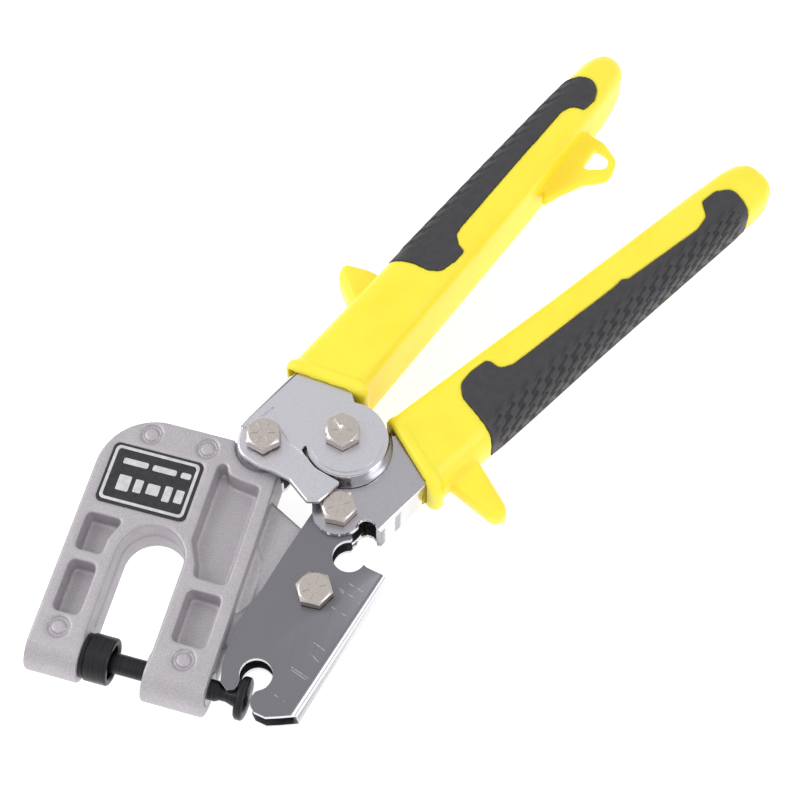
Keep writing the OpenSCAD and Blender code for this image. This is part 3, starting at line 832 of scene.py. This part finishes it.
# A station is (along, inner edge, outer edge, half height, inner corner radius, outer corner radius)
# Stations, mouth, tang and pad are measured in the grip's own directions, the other outlines in plan
# A collar's size is (thickness, half height, corner radius), and a tab's is (half thickness, rim radius)
upperGrip = {
    "body": "upper_handle", "turn": gripTurns["upper"], "voxel": 0.55,
    "stations": [
        (45, -53, -29.6, 14.5, 5.5, 4.2), (90, -52.9, -31.7, 14.2, 5.5, 4.2),
        (120, -52.9, -33, 13.8, 5.5, 4.4), (150, -52.8, -34.3, 13.4, 5.5, 4.6),
        (180, -52.6, -36.4, 12.9, 5.5, 4.8), (194, -52.4, -37.6, 12.4, 5.8, 5),
        (201, -52.6, -38.6, 11.4, 6, 5.5), (205.5, -52, -39.6, 10.2, 6, 5.8),
        (208.2, -50.6, -41.2, 8.6, 4.6, 4.6), (209.3, -48.8, -43, 6.4, 2.8, 2.8)],
    "front": ((-26.4, 66.6), (-4.4, 64.6)), "collar": ((-29.2, 66.9), (-2.2, 64.4)),
    "collarSize": (4.6, 15.6, 4.4), "tabSize": (6.4, 3), "eyeSize": (1.8, 0.9), "mouthHalf": 13.35,
    "tangHalf": 10.8,
    "tab": [(-14.6, 92, 2), (-7, 108, 2), (-15, 110.4, 3), (-24.6, 110.8, 3.4), (-24.4, 105.6, 3)],
    "eye": [(31, 151, 1), (36.3, 157.2, 6), (42.5, 163.2, 8), (50.6, 167, 4.5), (51.6, 174.5, 4.5),
            (45.5, 180.6, 3), (41, 182, 4), (37, 187, 2), (30, 172, 1)],
    "eyeHole": [(40.6, 168, 1.2), (48.8, 170.4, 2.4), (48.6, 175.4, 2.4), (43.4, 178, 1.4)],
    "mouth": [(-51.6, 30), (-31.6, 30), (-31.6, 57.6), (-51.6, 52)],
    "tang": [(-50.5, 50), (-33.4, 50), (-34.4, 118.2), (-50.5, 118.2)],
    "pad": [(-60, 97, 0), (-50.9, 99.1, 4), (-45.7, 101.8, 3), (-40.4, 102.8, 3), (-36.9, 105, 3),
            (-35.9, 110, 2), (-35.9, 115.5, 0.3), (-38.8, 116.3, 1.5), (-41.7, 118.8, 2.6), (-42.4, 124, 5),
            (-44.6, 177.7, 3), (-43.4, 181.4, 2), (-39.5, 183.5, 0.3), (-39.4, 189.4, 2.5),
            (-41.1, 192.8, 2.5), (-44.6, 195, 2.5), (-48.8, 193.4, 3), (-53, 189, 1), (-60, 186, 0)],
    "dashFrom": 103, "dashTo": 193, "flankRadius": 5.8, "flankHalf": 13.6}
lowerGrip = {
    "body": "lower_handle", "turn": gripTurns["lower"], "voxel": 0.55,
    "stations": [
        (46, -27.8, 0, 9.8, 4.6, 8), (62, -27.4, -0.8, 10, 4.6, 8), (90, -26.6, -2.2, 10, 4.6, 8),
        (120, -25.6, -4, 9.9, 4.6, 7.6), (150, -25.1, -5.4, 9.8, 4.6, 7), (180, -24.7, -6.7, 9.6, 4.6, 6.4),
        (194, -24.4, -7.2, 9.2, 5, 6), (199, -23.8, -7.6, 8.6, 5, 5.6), (202.6, -22.4, -9, 7.6, 5, 5),
        (204.4, -20, -11.4, 5.6, 3.6, 3.6)],
    "front": ((7.8, 60), (25.6, 41.4)), "collar": ((5.6, 61.6), (27.6, 39.8)),
    "collarSize": (4.4, 10.8, 8.2), "tabSize": (4, 2.6), "mouthHalf": 8.2, "tangHalf": 7.3,
    "tab": [(24, 50, 1), (28.4, 45.6, 2), (44.4, 37.9, 2.6), (48.7, 39.6, 2.6), (47.4, 43.6, 3),
            (36.2, 55.2, 2), (27, 58, 1)],
    "mouth": [(-3.4, 30), (-4.6, 56), (-24.6, 61), (-24.6, 30)],
    "tang": [(-2.8, 35), (-7.4, 92.2), (-21.8, 92.2), (-22.8, 35)],
    "pad": [(8, 63, 0), (1.5, 70.6, 2), (-3, 73.2, 4), (-17.4, 74.3, 3.5), (-21.4, 77.2, 3), (-22.4, 82, 3),
            (-22.2, 88.2, 0.3), (-20.8, 89.3, 0.3), (-17.4, 89.6, 2.5), (-15.6, 94, 4), (-14.9, 136.6, 2),
            (-15.3, 140.4, 0.8), (-14.1, 142, 0.8), (-12.7, 171.5, 4), (-14.2, 177, 2.5), (-19.2, 180, 0.3),
            (-19.3, 185.8, 3), (-16.4, 191, 3.5), (-7, 190.2, 5), (8, 181, 0)],
    "dashFrom": 74, "dashTo": 188, "flankRadius": 7.6, "flankHalf": 9.9}


def section(station, grow):  # rounded cross-section of a grip, grown or shrunk by a margin
    inner, outer, half, innerRadius, outerRadius = station[1:]
    inner, outer, half = inner - grow, outer + grow, half + grow
    innerRadius, outerRadius = max(innerRadius + grow, 1), max(outerRadius + grow, 1)
    return rounded([(inner, -half, innerRadius), (outer, -half, outerRadius), (outer, half, outerRadius),
                    (inner, half, innerRadius)], 8)


def gripBody(name, grip, grow=0.0):  # one end is drawn, then extruded and reshaped from station to station
    stations = grip["stations"]
    ring = section(stations[0], grow)
    piece = drawFace(name, [(x, stations[0][0], z) for x, z in ring])
    for here, there in zip(stations, stations[1:]):
        bpy.ops.mesh.extrude_region_move(TRANSFORM_OT_translate={"value": (0, (there[0] - here[0]) * mm, 0)})
        ahead = section(there, grow)
        mesh = bmesh.from_edit_mesh(piece.data)
        for vertex in [vertex for vertex in mesh.verts if vertex.select]:
            gaps = [abs(vertex.co.x / mm - x) + abs(vertex.co.z / mm - z) for x, z in ring]
            x, z = ahead[gaps.index(min(gaps))]
            vertex.co = (x * mm, there[0] * mm, z * mm)
        bmesh.update_edit_mesh(piece.data)
        ring = ahead
    leaveEdit()
    fixNormals(piece)
    return piece


def tab(name, outline, half, soft):  # a plate with rounded rims
    piece = plate(name, outline, -half, half)
    edit(piece, "EDGE")
    choose(piece, "EDGE", lambda edge: abs(edge.verts[0].co.z - edge.verts[1].co.z) < 0.01 * mm)
    bpy.ops.mesh.bevel(offset=soft * mm, segments=4, affect="EDGES")
    leaveEdit()
    return piece


def collarRing(name, line, thick, half, corner):  # a plate stood upright across a grip, along a plan line
    start, end = Vector(line[0]), Vector(line[1])
    run = end - start
    reach = run.length / 2
    outline = rounded([(-reach, -half, corner), (reach, -half, corner), (reach, half, corner),
                       (-reach, half, corner)], 10)
    piece = move(tab(name, outline, thick / 2, 1.9), turn=math.pi / 2, axis="X")
    return move(piece, (*((start + end) / 2), 0), math.atan2(run.y, run.x))


def trimFront(piece, line):  # cuts off what lies in front of a collar's line
    start, end = Vector(line[0]), Vector(line[1])
    run = (end - start).normalized()
    front = Vector((run.y, -run.x)) * 40
    left, right = start - run * 30, end + run * 30
    outline = [tuple(corner) for corner in (left, right, right + front, left + front)]
    return cut(piece, plate("frontCutter", outline, -30, 30))


def padCutter(grip):
    return plate("padCutter", rounded(grip["pad"], 5), -24, 24)


def makeGrip(name, grip, collar, tabs, openings, node):
    shell = gripBody(name, grip)
    cut(shell, padCutter(grip))
    join(shell, gripBody("gripCore", grip, -2.2))
    move(shell, turn=grip["turn"])
    trimFront(shell, grip["front"])
    join(shell, collar)
    cut(shell, *openings)
    merge(shell, *tabs)
    recast(shell, grip["voxel"], 5)
    finish(shell, yellow, grip["body"], "yellow_grip", node)


padSkin = {"proud": 0.25, "depth": 2.1, "voxel": 0.42, "passes": 3}
dashes = {"pitch": 5.9, "row": 2.45, "length": 4.5, "width": 0.62, "slant": 0.34, "depth": 0.5, "swell": 0.22,
          "start": 2.2, "fadeLength": 3}


def dashDepth(along, around):  # how deep a point lies in the nearest dash, from 0 to 1
    deepest = 0
    nearest = round((around - dashes["start"]) / dashes["row"])
    for row in (nearest - 1, nearest, nearest + 1):
        if row < 0:
            continue
        slide = along / dashes["pitch"] + 0.5 * (row % 2)
        step = (slide - math.floor(slide) - 0.5) * dashes["pitch"]
        across = around - dashes["start"] - row * dashes["row"] + dashes["slant"] * step
        past = max(abs(step) - dashes["length"] / 2, 0)
        depth = 1 - math.hypot(across, past) / dashes["width"]
        deepest = max(deepest, min(max(depth, 0) * 1.7, 1) * min(0.45 + 0.4 * row, 1))
    return deepest


def fromNought(value):  # kept between 0 and 1
    return min(max(value, 0), 1)


def addDashes(piece, grip, flank):  # presses dashes in the pad's outer flank, in the grip's own directions, and stores their depth for the painted shade in the grooves
    radius, half = grip["flankRadius"], grip["flankHalf"]
    normals = [vertex.normal.copy() for vertex in piece.data.vertices]
    shade = piece.data.attributes.new("dashShade", "FLOAT", "POINT")
    for vertex, normal in zip(piece.data.vertices, normals):
        x, y, z = vertex.co / mm
        lean = math.atan2(abs(normal.z), max(normal.x * flank, 0.001))
        around = radius * (math.pi / 2 - lean) + max(half - radius - abs(z), 0) * (1 if lean < 0.3 else 0)
        fade = fromNought(around / dashes["start"]) if normal.x * flank > 0.05 else 0
        fade *= fromNought((y - grip["dashFrom"]) / dashes["fadeLength"])
        fade *= fromNought((grip["dashTo"] - y) / dashes["fadeLength"])
        if fade > 0:
            depth = dashDepth(y, around)
            vertex.co += normal * (fade * (dashes["swell"] - dashes["depth"] * depth) * mm)
            # deeper points of a dash get more painted shade
            shade.data[vertex.index].value = depth * fade


def makePad(name, grip, side, node):
    pad = gripBody(name, grip, padSkin["proud"])
    combine(pad, [padCutter(grip)], "INTERSECT")
    cut(pad, gripBody("padHollow", grip, -padSkin["depth"]))
    recast(pad, padSkin["voxel"], padSkin["passes"])
    addDashes(pad, grip, side)
    move(pad, turn=grip["turn"])
    finish(pad, padRubber, grip["body"], "dark_pad", node)


def makeUpperGrip():
    collar = collarRing("upperCollar", upperGrip["collar"], *upperGrip["collarSize"])
    guard = tab("upperTab", rounded(upperGrip["tab"]), *upperGrip["tabSize"])
    eye = tab("hangEye", rounded(upperGrip["eye"]), *upperGrip["eyeSize"])
    cut(eye, plate("eyeHole", rounded(upperGrip["eyeHole"]), -6, 6))
    mouthCorners = [(x, y, 1) for x, y in inGrip(upperGrip["mouth"], upperGrip["turn"])]
    mouth = plate("channelMouth", rounded(mouthCorners), -upperGrip["mouthHalf"], upperGrip["mouthHalf"])
    tang = inGrip(upperGrip["tang"], upperGrip["turn"])
    tangSlot = plate("tangSlot", tang, -upperGrip["tangHalf"], upperGrip["tangHalf"])
    makeGrip("upperGrip", upperGrip, collar, [guard, eye], [mouth, tangSlot], "upper_grip")


def makeLowerGrip():
    collar = collarRing("lowerCollar", lowerGrip["collar"], *lowerGrip["collarSize"])
    guard = tab("lowerTab", rounded(lowerGrip["tab"]), *lowerGrip["tabSize"])
    mouthCorners = inGrip(lowerGrip["mouth"], lowerGrip["turn"])
    mouth = plate("channelMouth", mouthCorners, -lowerGrip["mouthHalf"], lowerGrip["mouthHalf"])
    tang = inGrip(lowerGrip["tang"], lowerGrip["turn"])
    tangSlot = plate("tangSlot", tang, -lowerGrip["tangHalf"], lowerGrip["tangHalf"])
    makeGrip("lowerGrip", lowerGrip, collar, [guard], [mouth, tangSlot], "lower_grip")


print("upper grip")
makeUpperGrip()
makePad("upperPad", upperGrip, -1, "upper_pad")

print("lower grip")
makeLowerGrip()
makePad("lowerPad", lowerGrip, 1, "lower_pad")


def dress(node, material):  # a CAD piece that keeps its own shape
    frame["nodes"][node].data.materials.clear()
    frame["nodes"][node].data.materials.append(material)


for node in ("bush_a", "bush_b", "bush_c", "bush_d", "spacers_a", "spacers_b", "punch_sleeve"):
    dress(node, insertMetal)
dress("die_ring", blackMetal)


# A lamp is (power, side of its square, place in metres)
studio = {"sky": 0.8, "floorGlow": 0.75, "floorSize": 6, "target": (0, 0, 0.02), "lamps": {
    "keySoftbox": (4.0, 0.6, (-0.85, -0.1, 0.8)), "fillSoftbox": (2.2, 0.5, (0.85, -0.2, 0.7))}}
view = {"tilt": 63.512, "heading": 16.6, "roll": 0.769, "lens": 89.8, "sensor": 36,
        "place": (85.75, -196.54, 559.06)}


def makeFloor():
    deselectAll()
    bpy.ops.mesh.primitive_plane_add(size=studio["floorSize"], location=(0, 0, -0.0005))
    floor = bpy.context.active_object
    floor.name = "floor"
    look = Finish("paleFloor", (0.6, 0.6, 0.6), 0.0, 0.9)
    look.drive("Base Color", look.ramp(look.noise(8, 2.0), (0.3, 0.59), (0.7, 0.61)))
    look.set("Emission Color", (1, 1, 1, 1))
    look.set("Emission Strength", studio["floorGlow"])
    floor.data.materials.append(look.material)


def addLamp(name, power, side, place):
    lamp = bpy.data.lights.new(name, "AREA")
    lamp.energy = power
    lamp.shape = "SQUARE"
    lamp.size = side
    holder = bpy.data.objects.new(name, lamp)
    bpy.context.scene.collection.objects.link(holder)
    holder.location = place
    holder.rotation_euler = (Vector(studio["target"]) - Vector(place)).to_track_quat("-Z", "Y").to_euler()


def lightStudio():
    world = bpy.data.worlds.new("studio")
    bpy.context.scene.world = world
    world.use_nodes = True
    world.node_tree.nodes["Background"].inputs["Color"].default_value = (1, 1, 1, 1)
    world.node_tree.nodes["Background"].inputs["Strength"].default_value = studio["sky"]
    for name, (power, side, place) in studio["lamps"].items():
        addLamp(name, power, side, place)


def makeCamera():
    tilt, heading, roll = (math.radians(view[key]) for key in ("tilt", "heading", "roll"))
    right = Vector((math.cos(heading), math.sin(heading), 0))
    level = Vector((-math.sin(heading), math.cos(heading), 0))
    above = level * math.sin(tilt) + Vector((0, 0, math.cos(tilt)))
    ahead = level * math.cos(tilt) - Vector((0, 0, math.sin(tilt)))
    axisX = right * math.cos(roll) - above * math.sin(roll)
    axisY = right * math.sin(roll) + above * math.cos(roll)
    lens = bpy.data.cameras.new("camera")
    lens.lens = view["lens"]
    lens.sensor_width = view["sensor"]
    camera = bpy.data.objects.new("camera", lens)
    bpy.context.scene.collection.objects.link(camera)
    turn = Matrix((axisX, axisY, -ahead)).transposed().to_4x4()
    camera.matrix_world = Matrix.Translation(leverPivot + Vector(view["place"]) * mm) @ turn
    bpy.context.scene.camera = camera


print("studio")
makeFloor()
lightStudio()
makeCamera()
bpy.context.scene.view_settings.view_transform = "Standard"
